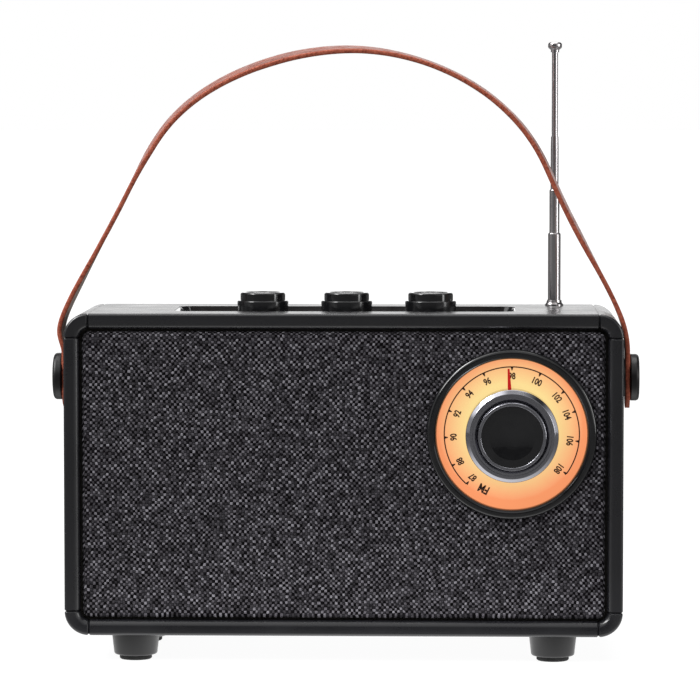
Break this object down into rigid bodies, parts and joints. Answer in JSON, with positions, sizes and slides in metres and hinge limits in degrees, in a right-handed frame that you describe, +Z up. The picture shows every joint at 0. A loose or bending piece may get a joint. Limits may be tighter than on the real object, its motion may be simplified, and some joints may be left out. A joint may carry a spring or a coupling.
{
  "type": "portable radio",
  "caption": "Table radio with a leather strap handle, woven grille, lit round tuning dial with a metal knob, top controls in a tray and a telescopic aerial.",
  "frame": {"origin": "on the surface that the radio stands on, in the middle of the whole radio as seen from above, knob and strap included", "axes": "+Z up, +Y to the back, +X to the right seen from the front"},
  "size_m": [0.2456, 0.09, 0.256],
  "materials": {
    "cabinet": "satin black with a faint moulded texture",
    "grille": "heathered black and grey woven cloth",
    "backboard": "black-stained fibreboard",
    "rear": "fine matt moulding texture",
    "gloss_black": "polished black",
    "inner_plastic": "moulded",
    "dial_print": "lit from behind, orange with dark printed numbers",
    "backlight": "clear light guide and lamp board",
    "pointer": "painted red",
    "knob_metal": "turned and polished, darkened chrome",
    "chrome": "polished",
    "steel": "plated",
    "strap": "reddish-brown leather with raw edges",
    "button": "satin black",
    "foot": "satin black",
    "rubber": "soft rubber",
    "board": "green circuit board",
    "paper": "coated paper cone",
    "battery": "shrink-wrapped cells"
  },
  "bodies": {
    "radio": {"top_panel": "cabinet", "bottom_panel": "cabinet", "left_side_panel": "cabinet", "right_side_panel": "cabinet", "corner_top_left": "cabinet", "corner_top_right": "cabinet", "corner_bottom_left": "cabinet", "corner_bottom_right": "cabinet", "baffle_board": "backboard", "grille_frame": "inner_plastic", "grille_cloth": "grille", "rear_cover": "rear", "rear_cover_screws": "steel", "usb_socket": "steel", "aux_jack": "inner_plastic", "control_tray": "gloss_black", "pot_nuts": "steel", "control_board": "board", "dial_bezel": "gloss_black", "dial_face": "dial_print", "dial_backlight": "backlight", "dial_housing": "inner_plastic", "tuning_pot": "steel", "antenna_tube": "steel", "antenna_ferrule": "chrome", "handle_button_left": "button", "handle_button_right": "button", "handle_spacers": "button", "handle_nuts": "steel", "foot_front_left": "foot", "foot_front_right": "foot", "foot_rear_left": "foot", "foot_rear_right": "foot", "foot_pads": "rubber", "foot_screws": "steel", "speaker_magnets": "steel", "main_board": "board", "battery_pack": "battery", "volume_pot": "steel", "bass_pot": "steel", "treble_pot": "steel", "speaker_left_frame": "steel", "speaker_right_frame": "steel"},
    "tuning_control": {"tuning_knob": "knob_metal", "tuning_knob_cap": "gloss_black", "dial_pointer": "pointer", "tuning_shaft": "steel"},
    "volume_control": {"volume_knob": "gloss_black", "volume_shaft": "steel"},
    "bass_control": {"bass_knob": "gloss_black", "bass_shaft": "steel"},
    "treble_control": {"treble_knob": "gloss_black", "treble_shaft": "steel"},
    "aerial_section_1": {"antenna_section_1": "chrome"},
    "aerial_section_2": {"antenna_section_2": "chrome"},
    "aerial_section_3": {"antenna_section_3": "chrome"},
    "aerial_rod": {"antenna_rod": "chrome"},
    "handle": {"handle_strap": "strap"},
    "left_cone": {"speaker_left_cone": "paper"},
    "right_cone": {"speaker_right_cone": "paper"}
  },
  "joints": [
    {"name": "tuning", "type": "hinge", "parent": "radio", "child": "tuning_control", "pos_m": [0.0692, -0.033, 0.0946], "axis": [0, 1, 0], "range_deg": [-135, 129]},
    {"name": "volume", "type": "hinge", "parent": "radio", "child": "volume_control", "pos_m": [-0.03485, 0.006, 0.144], "axis": [0, 0, -1], "range_deg": [-140, 140]},
    {"name": "bass", "type": "hinge", "parent": "radio", "child": "bass_control", "pos_m": [0.00035, 0.006, 0.144], "axis": [0, 0, -1], "range_deg": [-140, 140]},
    {"name": "treble", "type": "hinge", "parent": "radio", "child": "treble_control", "pos_m": [0.03555, 0.006, 0.144], "axis": [0, 0, -1], "range_deg": [-140, 140]},
    {"name": "aerial_slide_1", "type": "slide", "parent": "radio", "child": "aerial_section_1", "axis": [0, 0, 1], "range_m": [-0.0284, 0.023]},
    {"name": "aerial_slide_2", "type": "slide", "parent": "aerial_section_1", "child": "aerial_section_2", "axis": [0, 0, 1], "range_m": [-0.018, 0.034]},
    {"name": "aerial_slide_3", "type": "slide", "parent": "aerial_section_2", "child": "aerial_section_3", "axis": [0, 0, 1], "range_m": [-0.022, 0.0285]},
    {"name": "aerial_slide_4", "type": "slide", "parent": "aerial_section_3", "child": "aerial_rod", "axis": [0, 0, 1], "range_m": [-0.0352, 0.0098]},
    {"name": "handle_swing", "type": "hinge", "parent": "radio", "child": "handle", "pos_m": [0, 0.006, 0.1155], "axis": [1, 0, 0], "range_deg": [-10, 10]},
    {"name": "speaker_left_travel", "type": "slide", "parent": "radio", "child": "left_cone", "axis": [0, 1, 0], "range_m": [-0.001, 0.001], "stiffness_N_per_m": 500},
    {"name": "speaker_right_travel", "type": "slide", "parent": "radio", "child": "right_cone", "axis": [0, 1, 0], "range_m": [-0.001, 0.001], "stiffness_N_per_m": 500}
  ]
}
